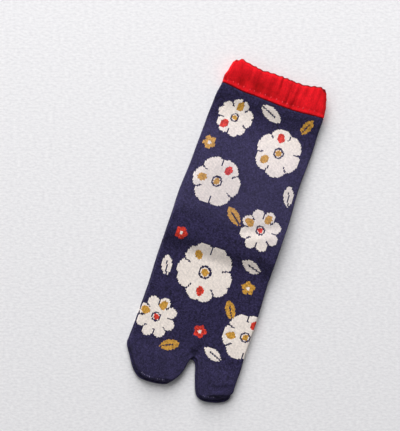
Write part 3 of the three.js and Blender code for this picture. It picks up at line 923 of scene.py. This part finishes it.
def thread_stitches(name, stitches, rounds=8, rings=5):
    """Short flat stitches. Each has a place, a normal, a direction, a length, a width, a tone."""
    points, faces, tones = [], [], []
    for place, normal, along, length, width, tone in stitches:
        along = (along - normal * along.dot(normal)).normalized()
        across = normal.cross(along)
        first = len(points)
        for i in range(rings + 1):
            turn = np.pi * (i + 0.5) / (rings + 1)
            middle = place - along * (length / 2 * float(np.cos(turn)) * MM)
            for j in range(rounds):
                a = 2 * np.pi * j / rounds
                out = across * (width / 2 * float(np.cos(a)))
                out = out + normal * (width / STITCH_FLATNESS * float(np.sin(a)))
                points.append(middle + out * float(np.sin(turn)) ** STITCH_ENDS * MM)
        for i in range(rings):
            for j in range(rounds):
                k, low = (j + 1) % rounds, first + i * rounds
                faces.append((low + j, low + k, low + rounds + k, low + rounds + j))
        faces.append(tuple(first + j for j in reversed(range(rounds))))
        faces.append(tuple(first + rings * rounds + j for j in range(rounds)))
        tones += [tone] * (rings * rounds * 4 + 2 * rounds)
    return new_piece(name, points, faces, [(tone, tone, tone, 1) for tone in tones])


def cuff_stitches(sock, cuff):
    """The row of stitches that holds a cuff's hem, over and under the tube."""
    bpy.context.view_layer.update()
    dice = random.Random(7)
    stitches = []
    for over in (True, False) if SOCKS[sock]["front_up"] else (True,):
        for x in np.arange(*HEM_STITCHES):
            x = float(x) + dice.uniform(-0.6, 0.6)
            y = float(cuff_y(x, HEM)) + dice.uniform(-0.25, 0.25)
            along = Vector((dice.uniform(-0.4, 0.4), 1.0, 0.0))
            size = dice.uniform(0.75, 1.15)
            tone = dice.uniform(0.35, 1.0) * (1.0 if x < DULL_FROM else DULL)
            place, normal = on_cloth(cuff, sock, x, y, over)
            if place:
                length, width = HEM_STITCH[0] * size, HEM_STITCH[1] * size
                stitches.append((place, normal, along, length, width, tone))
    return thread_stitches(f"{sock}_cuff_stitches", stitches)


def toe_seam_stitches(body):
    """The stitches that close the upper sock's toe pockets, just over the edge of the tips."""
    bpy.context.view_layer.update()
    dice = random.Random(11)
    stitches = []
    for pocket, left_turn, right_turn, inside, every in TOE_SEAMS:
        tip_y = pocket["tip"][1]
        deepest = CROTCH[1] - tip_y
        line = []
        for column, way, turns in (
            (1, -1, np.linspace(left_turn, LAST_TURN, 60)),
            (2, 1, np.linspace(LAST_TURN, right_turn, 60)),
        ):
            for turn in turns:
                y = CROTCH[1] - deepest * float(np.sin(turn))
                x, out_x, out_y = edge_point(
                    lambda at: pocket_edge(pocket, column, at), y, way, tip_y
                )
                line.append((x - inside * out_x, y - inside * out_y, out_x, out_y))
        walked = 0.0
        for (ax, ay, ox, oy), (bx, by, _, _) in zip(line, line[1:]):
            walked += float(np.hypot(bx - ax, by - ay))
            if walked < every:
                continue
            walked = dice.uniform(-0.25, 0.25)
            size, tone = dice.uniform(0.9, 1.5), dice.uniform(0.25, 1.0) ** 1.6
            place, normal = on_cloth(body, "upper", ax, ay)
            if place:
                stitches.append((place, normal, Vector((ox, oy, 0)), size, TOE_STITCH, tone))
    return thread_stitches("upper_toe_seam", stitches)


# ---------------------------------------------------------------- materials

TONES = (0.03, 0.7)  # how pale the navy and the cream are
# Metres along the socks over which the haze starts, ends, and starts again at the toe tips.
HAZE_START, HAZE_END, HAZE_TIPS = (-0.006, 0.014), (0.066, 0.100), (-0.092, -0.108)
KNIT_SHEEN, RIB_SHEEN = (190, 186, 210), (255, 150, 150)
PAPER = ((224, 224, 226), (240, 240, 241))


def linear(colour):
    """An sRGB colour from 0 to 255 as linear RGBA."""
    c = np.array(colour, float) / 255
    out = np.where(c <= 0.04045, c / 12.92, ((c + 0.055) / 1.055) ** 2.4)
    return (*out.tolist(), 1.0)


class Nodes:
    """A node tree, with short ways to add and join nodes."""

    def __init__(self, tree):
        self.tree = tree

    def add(self, kind, **settings):
        node = self.tree.nodes.new(kind)
        for key, value in settings.items():
            setattr(node, key, value)
        return node

    def put(self, value, socket):
        if hasattr(value, "is_output"):
            self.tree.links.new(value, socket)
        else:
            socket.default_value = value

    def math(self, operation, a, b=0.0, c=0.0, clamp=False):
        node = self.add("ShaderNodeMath", operation=operation, use_clamp=clamp)
        for value, socket in zip((a, b, c), node.inputs):
            self.put(value, socket)
        return node.outputs[0]

    def plus(self, a, b, clamp=False):
        return self.math("ADD", a, b, clamp=clamp)

    def times(self, a, b, clamp=False):
        return self.math("MULTIPLY", a, b, clamp=clamp)

    def centred(self, value, amount, middle=0.5):
        """A value's distance from its middle, times an amount."""
        return self.times(self.math("SUBTRACT", value, middle), amount)

    def arch(self, value):
        """0 at whole numbers and 1 halfway between them."""
        return self.math("SINE", self.times(self.math("FRACT", value), np.pi))

    def mix(self, factor, a, b, blend="MIX"):
        node = self.add("ShaderNodeMix", data_type="RGBA", blend_type=blend)
        self.put(factor, node.inputs["Factor"])
        for value, socket in ((a, node.inputs[6]), (b, node.inputs[7])):
            self.put(value, socket)
        return node.outputs[2]

    def noise(self, vector, scale, detail, roughness):
        node = self.add("ShaderNodeTexNoise")
        self.put(vector, node.inputs["Vector"])
        self.put(scale, node.inputs["Scale"])
        self.put(detail, node.inputs["Detail"])
        self.put(roughness, node.inputs["Roughness"])
        return node.outputs["Fac"]

    def spread(self, value, from_low, from_high, to_low, to_high, smooth=False):
        node = self.add("ShaderNodeMapRange")
        node.interpolation_type = "SMOOTHSTEP" if smooth else "LINEAR"
        for v, name in (
            (value, "Value"), (from_low, "From Min"), (from_high, "From Max"),
            (to_low, "To Min"), (to_high, "To Max"),
        ):
            self.put(v, node.inputs[name])
        return node.outputs["Result"]


def knit_loops_group():
    """Turns a place in the stitch grid into the height of its knit loop, a shade with painted
    shade in its grooves and random tone, and lint.
    """
    tree = bpy.data.node_groups.get("Knit Loops")
    if tree:
        return tree
    tree = bpy.data.node_groups.new("Knit Loops", "ShaderNodeTree")
    for name in ("Grid", "Place"):
        tree.interface.new_socket(name, in_out="INPUT", socket_type="NodeSocketVector")
    for name in ("Loops", "Uneven", "Streaks", "Fuzz"):
        tree.interface.new_socket(name, in_out="INPUT", socket_type="NodeSocketFloat")
    for name in ("Height", "Shade", "Lint"):
        tree.interface.new_socket(name, in_out="OUTPUT", socket_type="NodeSocketFloat")
    n = Nodes(tree)
    inputs = n.add("NodeGroupInput").outputs
    split = n.add("ShaderNodeSeparateXYZ")
    n.put(inputs["Grid"], split.inputs[0])
    u, v = split.outputs[0], split.outputs[1]
    # A loop is round across and along, with a shallow line between its two legs.
    leg, wale, along = n.arch(u), n.arch(n.times(u, 0.5)), n.arch(v)
    legs = n.math("MULTIPLY_ADD", n.math("POWER", leg, 0.6), 0.35, 0.65)
    pillow = n.times(n.math("POWER", wale, 0.55), legs)
    pillow = n.times(pillow, n.math("MULTIPLY_ADD", along, 0.35, 0.65))

    cell = n.add("ShaderNodeCombineXYZ")
    n.put(n.math("FLOOR", n.times(u, 0.5)), cell.inputs[0])
    n.put(n.math("FLOOR", v), cell.inputs[1])
    chance = n.add("ShaderNodeTexWhiteNoise", noise_dimensions="2D")
    n.put(cell.outputs[0], chance.inputs["Vector"])
    luck = chance.outputs["Value"]
    uneven = n.centred(luck, inputs["Uneven"])

    stretched = n.add("ShaderNodeCombineXYZ")
    n.put(n.times(u, 0.30), stretched.inputs[0])
    n.put(n.times(v, 0.13), stretched.inputs[1])
    streak = n.noise(stretched.outputs[0], 1.0, 3.0, 0.65)
    streaks = n.centred(streak, inputs["Streaks"])

    fine = n.noise(inputs["Place"], 2200.0, 3.0, 0.65)
    soft = n.noise(inputs["Place"], 520.0, 4.0, 0.65)
    fuzz = n.centred(fine, inputs["Fuzz"])
    wide = n.centred(soft, n.times(inputs["Fuzz"], 1.2))
    height = n.plus(pillow, n.times(fuzz, 0.6))
    # Painted shade: the shade is darker in the grooves between loops and between their legs.
    # Uneven, streaks, fuzz and wide add random tone.
    loops = n.centred(pillow, inputs["Loops"], 0.55)
    shade = n.plus(n.plus(loops, 1.0), n.plus(uneven, streaks))
    shade = n.math("MAXIMUM", n.plus(shade, n.plus(fuzz, wide)), 0.12)
    flecks, loose = n.spread(fine, 0.42, 0.75, 0.0, 1.0), n.spread(luck, 0.2, 0.9, 0.3, 1.0)
    lint = n.times(flecks, loose)
    out = n.add("NodeGroupOutput")
    for name, value in (("Height", height), ("Shade", shade), ("Lint", lint)):
        n.put(value, out.inputs[name])
    return tree


def start_material(name):
    """A new material, its nodes and its shader."""
    material = bpy.data.materials.new(name)
    material.use_nodes = True
    n = Nodes(material.node_tree)
    shader = material.node_tree.nodes["Principled BSDF"]
    return material, n, shader


def loops_in(n, **amounts):
    """Places the knit loops in a material. An amount is a number or a socket."""
    node = n.add("ShaderNodeGroup", node_tree=knit_loops_group())
    grid = n.add("ShaderNodeUVMap", uv_map="stitch_grid")
    place = n.add("ShaderNodeTexCoord").outputs["Object"]
    n.put(grid.outputs["UV"], node.inputs["Grid"])
    n.put(place, node.inputs["Place"])
    for name, amount in amounts.items():
        n.put(amount, node.inputs[name])
    return node.outputs["Height"], node.outputs["Shade"], node.outputs["Lint"], place


def set_surface(shader, roughness, specular, sheen=None):
    """How dry a surface is. Its sheen is an amount, a roughness and a tint."""
    values = {"Roughness": roughness, "Specular IOR Level": specular}
    if sheen:
        amount, rough, tint = sheen
        values |= {"Sheen Weight": amount, "Sheen Roughness": rough, "Sheen Tint": linear(tint)}
    for name, value in values.items():
        shader.inputs[name].default_value = value


def raise_surface(n, shader, height, strength, distance):
    """Adds fine relief to a shader. The distance is in metres."""
    bump = n.add("ShaderNodeBump")
    bump.inputs["Strength"].default_value = strength
    bump.inputs["Distance"].default_value = distance
    n.put(height, bump.inputs["Height"])
    n.put(bump.outputs["Normal"], shader.inputs["Normal"])


def patterned_knit(colours):
    """Fine plain knit in yarns of several colours, matt, with a little fuzz."""
    material, n, shader = start_material("Patterned Knit")
    yarn = n.add("ShaderNodeVertexColor", layer_name="yarn_colour").outputs["Color"]
    pale = n.add("ShaderNodeRGBToBW")
    n.put(yarn, pale.inputs[0])

    def by_tone(dark, bright):
        """An amount that goes with how pale the yarn is."""
        return n.spread(pale.outputs[0], *TONES, dark, bright)

    # Loops sets how much painted shade the grooves between loops get; Uneven, Streaks and Fuzz
    # set random tone.
    height, shade, lint, place = loops_in(
        n, Loops=by_tone(0.75, 0.42), Uneven=by_tone(0.85, 0.15),
        Streaks=by_tone(1.3, 0.26), Fuzz=by_tone(1.7, 0.38),
    )
    shaded = n.mix(1.0, yarn, shade, "MULTIPLY")
    dark = n.spread(pale.outputs[0], 0.03, 0.4, 0.12, 0.0)
    shaded = n.mix(n.times(lint, dark), shaded, colours.yarn("haze"))
    # The leg is paler than the foot, by a veil of the haze colour. The veil falls away just below
    # the cuff, as painted shade there, and a little comes back at the toe tips.
    split = n.add("ShaderNodeSeparateXYZ")
    n.put(place, split.inputs[0])
    cloud = n.noise(place, 28.0, 3.0, 0.55)
    bent = n.math("MULTIPLY_ADD", n.math("SUBTRACT", cloud, 0.5), 0.03, split.outputs[1])
    rising = n.spread(bent, *HAZE_START, 0.0, 1.0, smooth=True)
    # Painted shade just below the cuff, where the veil falls away.
    falling = n.spread(bent, *HAZE_END, 1.0, 0.0, smooth=True)
    haze = n.times(n.times(rising, falling), by_tone(0.055, 0.14))
    tips = n.times(n.spread(bent, *HAZE_TIPS, 0.0, 1.0, smooth=True), 0.020)
    haze = n.plus(haze, tips)
    haze = n.times(haze, n.spread(cloud, 0.3, 0.7, 0.7, 1.3))
    n.put(n.mix(haze, shaded, colours.yarn("haze")), shader.inputs["Base Color"])
    set_surface(shader, 0.92, 0.18, sheen=(0.10, 0.5, KNIT_SHEEN))
    raise_surface(n, shader, height, 0.75, 0.00035)
    return material


def red_rib(colours):
    """Elastic rib in one bright yarn, a little uneven, with painted light and shade from the
    cuff's greys.
    """
    material, n, shader = start_material("Red Rib")
    # Loops sets the painted shade in the rib's grooves; the rest is random tone.
    height, shade, _, place = loops_in(n, Loops=0.22, Uneven=0.16, Streaks=0.35, Fuzz=0.34)
    cloud = n.noise(place, 150.0, 4.0, 0.62)
    # The cuff's greys are painted light and shade: dark greys take the Cuff Shade and, lowest,
    # the Cuff Edge.
    shadowed = n.add("ShaderNodeVertexColor", layer_name="yarn_colour").outputs["Color"]
    level = n.centred(shadowed, 1 / (1 - DARK_EDGE), DARK_EDGE)
    level = n.plus(level, n.centred(cloud, 0.9), clamp=True)
    edge = n.times(shadowed, 1 / DARK_EDGE, clamp=True)
    dark = n.mix(edge, colours.yarn("edge"), colours.yarn("cuff_shade"))
    base = n.mix(n.times(level, edge), dark, colours.yarn("cuff"))
    n.put(n.mix(1.0, base, shade, "MULTIPLY"), shader.inputs["Base Color"])
    set_surface(shader, 0.9, 0.15, sheen=(0.08, 0.45, RIB_SHEEN))
    raise_surface(n, shader, height, 0.7, 0.0004)
    return material


def seam_thread(name, dark, bright):
    """Thread between two colours, by each stitch's tone."""
    material, n, shader = start_material(name)
    tone = n.add("ShaderNodeVertexColor", layer_name="yarn_colour").outputs["Color"]
    place = n.add("ShaderNodeTexCoord").outputs["Object"]
    twist = n.noise(place, 3000.0, 2.0, 0.6)
    amount = n.times(tone, n.spread(twist, 0.3, 0.7, 0.75, 1.1), clamp=True)
    n.put(n.mix(amount, linear(dark), linear(bright)), shader.inputs["Base Color"])
    set_surface(shader, 0.75, 0.25)
    raise_surface(n, shader, twist, 0.5, 0.0002)
    return material


def paper_floor():
    """A plain pale surface with a faint grain, finer along the view's width."""
    material, n, shader = start_material("Pale Paper")
    mapping = n.add("ShaderNodeMapping", vector_type="TEXTURE")
    mapping.inputs["Rotation"].default_value = (0, 0, bpy.context.scene.socks_stage.turn)
    mapping.inputs["Scale"].default_value = (1.65, 0.80, 1)
    n.put(n.add("ShaderNodeTexCoord").outputs["Object"], mapping.inputs["Vector"])
    grain = n.noise(mapping.outputs["Vector"], 520.0, 3.0, 0.6)
    low, high = map(linear, PAPER)
    n.put(n.mix(n.spread(grain, 0.32, 0.68, 0.0, 1.0), low, high), shader.inputs["Base Color"])
    set_surface(shader, 0.95, 0.1)
    raise_surface(n, shader, grain, 0.2, 0.0005)
    return material


# ---------------------------------------------------------------- settings and operators


def colour_property(name, description, rgb):
    """A colour setting. Its default is given from 0 to 255."""
    return bpy.props.FloatVectorProperty(
        name=name, description=description, subtype="COLOR", size=3, min=0, max=1,
        default=[c / 255 for c in rgb],
    )


class SOCKS_PG_yarns(bpy.types.PropertyGroup):
    """The yarns' colours, as they look on a screen."""

    navy: colour_property("Navy", "Yarn of the ground", (37, 32, 64))
    cream: colour_property("Cream", "Yarn of large blossoms and leaves", (239, 229, 220))
    ochre: colour_property("Ochre", "Yarn of patches, leaves and small blossoms", (198, 148, 60))
    accent: colour_property("Red Accent", "Yarn of patches and small blossoms", (208, 56, 38))
    cuff: colour_property("Cuff Red", "Yarn of the cuffs", (250, 24, 38))
    # Cuff Shade and Cuff Edge are painted shade: the first in the cuffs' hollows, the second
    # along rim and side folds.
    cuff_shade: colour_property("Cuff Shade", "The cuffs' yarn where it is pressed", (170, 3, 8))
    edge: colour_property("Cuff Edge", "The cuffs' yarn along rim and side folds", (112, 4, 14))
    haze: colour_property("Haze", "The paler look of the leg", (148, 142, 192))

    def yarn(self, name):
        """A yarn's colour as linear RGBA."""
        return linear([c * 255 for c in getattr(self, name)])


class SOCKS_PG_stage(bpy.types.PropertyGroup):
    """Where the camera stands and how bright the light is."""

    distance: bpy.props.FloatProperty(
        name="Camera Height", description="How high the camera is over the socks",
        default=1.4, min=0.3, unit="LENGTH",
    )
    view_height: bpy.props.FloatProperty(
        name="View Height", description="How much of the floor the view takes in, top to bottom",
        default=0.3448, min=0.05, unit="LENGTH",
    )
    turn: bpy.props.FloatProperty(
        name="Turn", description="How far the view is turned from the socks' length",
        default=0.32812, subtype="ANGLE",
    )
    window_power: bpy.props.FloatProperty(
        name="Window Light", description="Power of the large lamp beyond the cuffs",
        default=132.0, min=0, unit="POWER",
    )
    side_power: bpy.props.FloatProperty(
        name="Side Light", description="Power of the large lamp on the left",
        default=18.0, min=0, unit="POWER",
    )
    sky: bpy.props.FloatProperty(
        name="Room Light", description="Strength of the even light from all round",
        default=0.175, min=0,
    )


# In metres: the place the camera looks at, whose height is where the camera's distance is counted
# from.
LOOKED_AT = (-0.0239, 0.0054, 0.007)
# Seam threads: the colour in the dips and on top.
TOE_THREAD = ((52, 46, 84), (150, 144, 178))
HEM_THREAD = ((216, 26, 38), (234, 70, 78))
# Large lamps: name, place when the view isn't turned, size in metres, and the power's setting.
LAMPS = (
    ("Window", (0.0, 2.4, 1.45), 2.6, "window_power"),
    ("Side", (-2.3, 0.7, 2.3), 3.0, "side_power"),
)
LAMP_COLOUR, ROOM_COLOUR = (1.0, 0.990, 0.996), (0.98, 0.98, 1.0, 1.0)


def dress(piece, nodes, material):
    """Gives a piece its material and joins it to the frame."""
    piece.data.materials.append(material)
    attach(piece, "root")
    if nodes:
        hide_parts(*nodes)


class SOCKS_OT_camera(bpy.types.Operator):
    """Look straight down at the socks, turned a little from their length"""

    bl_idname = "socks.camera"
    bl_label = "Place the Camera"

    def execute(self, context):
        stage = context.scene.socks_stage
        data = bpy.data.cameras.new("Camera")
        camera = bpy.data.objects.new("Camera", data)
        context.scene.collection.objects.link(camera)
        data.sensor_fit = "VERTICAL"
        data.sensor_height = 24
        data.lens = data.sensor_height * stage.distance / stage.view_height
        data.clip_end = 20
        x, y, z = LOOKED_AT
        place = Matrix.Translation((x, y, stage.distance + z))
        camera.matrix_world = place @ Matrix.Rotation(stage.turn, 4, "Z")
        context.scene.camera = camera
        return {"FINISHED"}


class SOCKS_OT_bodies(bpy.types.Operator):
    """Knit the leg, foot and toe pockets of both socks"""

    bl_idname = "socks.bodies"
    bl_label = "Knit the Bodies"

    def execute(self, context):
        colours = context.scene.socks_yarns
        palette = [colours.yarn(name) for name in ("navy", "cream", "ochre", "accent")]
        material = patterned_knit(colours)
        pieces = {}
        for sock, rests_on in (("lower", []), ("upper", ["lower_sock_knit"])):
            piece = knit_body(sock, palette)
            dress(piece, [f"{sock}_sock_body"], material)
            pieces[sock] = piece
        thread = seam_thread("Toe Seam Thread", *TOE_THREAD)
        dress(toe_seam_stitches(pieces["upper"]), [], thread)
        return {"FINISHED"}


class SOCKS_OT_cuffs(bpy.types.Operator):
    """Turn and gather the cuffs of both socks"""

    bl_idname = "socks.cuffs"
    bl_label = "Turn the Cuffs"

    def execute(self, context):
        material = red_rib(context.scene.socks_yarns)
        pieces = {}
        for sock, rests_on in (("lower", []), ("upper", ["lower_sock_cuff_rib"])):
            piece = turn_cuff(sock)
            dress(piece, [f"{sock}_sock_cuff"], material)
            pieces[sock] = piece
        thread = seam_thread("Hem Thread", *HEM_THREAD)
        for sock, cuff in pieces.items():
            dress(cuff_stitches(sock, cuff), [], thread)
        return {"FINISHED"}


def soft_lamp(name, place, size, power):
    """A large round lamp that faces the socks."""
    data = bpy.data.lights.new(name, "AREA")
    data.shape = "DISK"
    data.size = size
    data.energy = power
    data.color = LAMP_COLOUR
    lamp = bpy.data.objects.new(name, data)
    lamp.visible_camera = False
    lamp.location = place
    lamp.rotation_euler = place.to_track_quat("Z", "Y").to_euler()
    bpy.context.scene.collection.objects.link(lamp)


class SOCKS_OT_stage(bpy.types.Operator):
    """Lay the pale floor and set the soft light"""

    bl_idname = "socks.stage"
    bl_label = "Set the Stage"

    def execute(self, context):
        stage = context.scene.socks_stage
        bpy.ops.object.select_all(action="DESELECT")
        bpy.ops.mesh.primitive_plane_add(size=6, location=(0, 0, -0.0002))
        floor = context.object
        floor.name = "Floor"
        floor.data.materials.append(paper_floor())
        turn = Matrix.Rotation(stage.turn, 3, "Z")
        for name, place, size, power in LAMPS:
            soft_lamp(name, turn @ Vector(place), size, getattr(stage, power))
        world = bpy.data.worlds.new("Room")
        world.use_nodes = True
        background = world.node_tree.nodes["Background"]
        background.inputs["Color"].default_value = ROOM_COLOUR
        background.inputs["Strength"].default_value = stage.sky
        context.scene.world = world
        context.scene.view_settings.view_transform = "Standard"
        return {"FINISHED"}


class SOCKS_PT_panel(bpy.types.Panel):
    """Lists the steps and the settings"""

    bl_idname = "SOCKS_PT_panel"
    bl_label = "Split-Toe Socks"
    bl_space_type = "VIEW_3D"
    bl_region_type = "UI"
    bl_category = "Socks"

    def draw(self, context):
        for step in STEPS:
            self.layout.operator(step.bl_idname)
        for group in (context.scene.socks_yarns, context.scene.socks_stage):
            for key in group.bl_rna.properties.keys():
                if key not in {"rna_type", "name"}:
                    self.layout.prop(group, key)


STEPS = (SOCKS_OT_camera, SOCKS_OT_bodies, SOCKS_OT_cuffs, SOCKS_OT_stage)
CLASSES = (SOCKS_PG_yarns, SOCKS_PG_stage, *STEPS, SOCKS_PT_panel)


def register():
    for cls in CLASSES:
        bpy.utils.register_class(cls)
    bpy.types.Scene.socks_yarns = bpy.props.PointerProperty(type=SOCKS_PG_yarns)
    bpy.types.Scene.socks_stage = bpy.props.PointerProperty(type=SOCKS_PG_stage)


def unregister():
    del bpy.types.Scene.socks_stage
    del bpy.types.Scene.socks_yarns
    for cls in reversed(CLASSES):
        bpy.utils.unregister_class(cls)


def main():
    register()
    bpy.ops.socks.camera()
    bpy.ops.socks.bodies()
    bpy.ops.socks.cuffs()
    bpy.ops.socks.stage()


if __name__ == "__main__":
    main()
